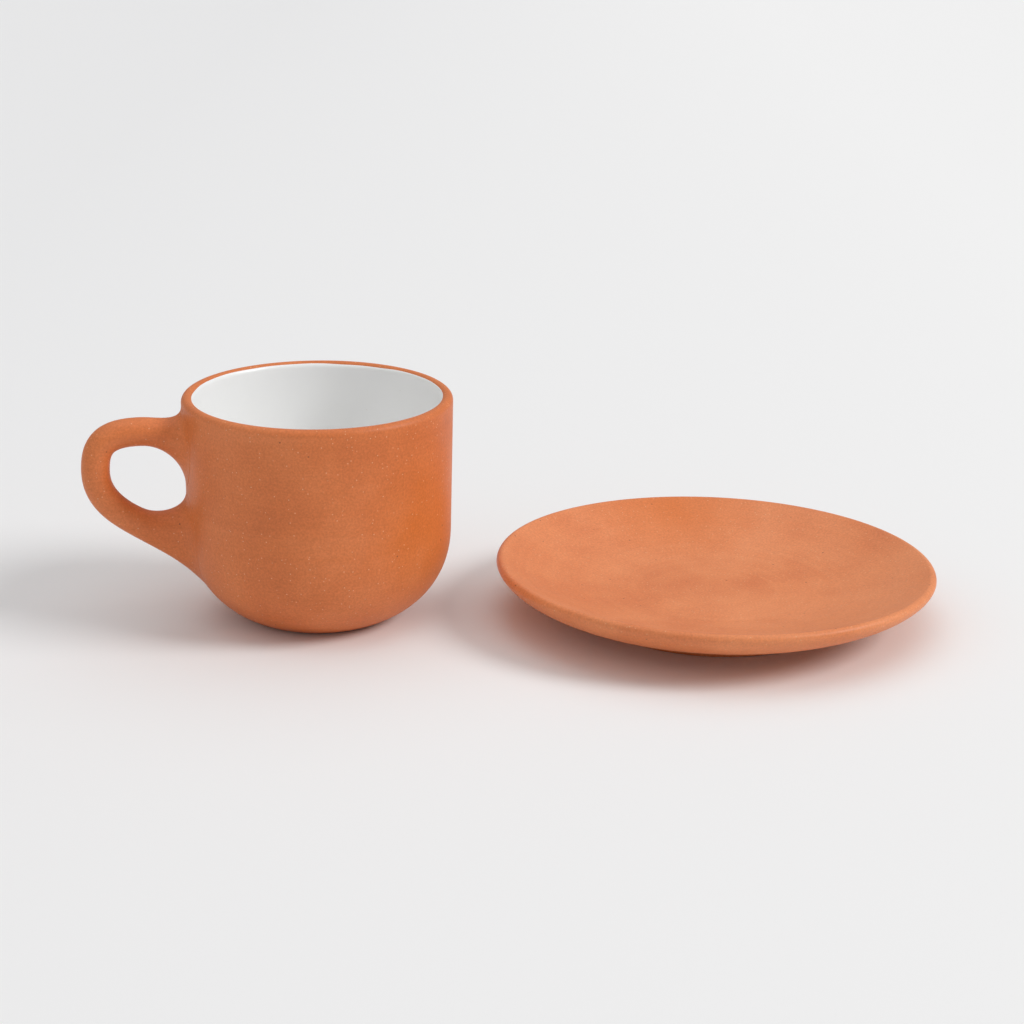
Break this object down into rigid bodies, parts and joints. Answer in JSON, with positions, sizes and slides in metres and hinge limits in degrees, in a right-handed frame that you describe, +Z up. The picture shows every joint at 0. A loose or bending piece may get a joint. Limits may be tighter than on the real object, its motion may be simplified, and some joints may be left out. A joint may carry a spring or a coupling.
{
  "type": "teacup and saucer",
  "caption": "Round-bottomed earthenware teacup with a loop handle and a white glazed inside, standing beside its shallow footed saucer.",
  "frame": {"origin": "on the table, under the middle of the pair's bounding box", "axes": "+X from the cup to the saucer along the line of their centres, +Y away from the viewer, +Z up"},
  "size_m": [0.272, 0.142, 0.073],
  "materials": {
    "cup_clay": "unglazed terracotta, burnished to a low satin, with fine pale flecks and small pits",
    "saucer_clay": "unglazed terracotta, burnished to a low satin, a little paler than the cup",
    "white_glaze": "white satin glaze"
  },
  "bodies": {
    "saucer": {"saucer": "saucer_clay"},
    "cup": {"cup_body": "cup_clay", "inner_glaze": "white_glaze", "cup_handle": "cup_clay", "upper_handle_slip": "cup_clay", "lower_handle_slip": "cup_clay"}
  },
  "joints": [
    {"name": "cup_lift", "type": "slide", "parent": "saucer", "child": "cup", "axis": [0, 0, 1], "range_m": [0, 0.12]}
  ]
}
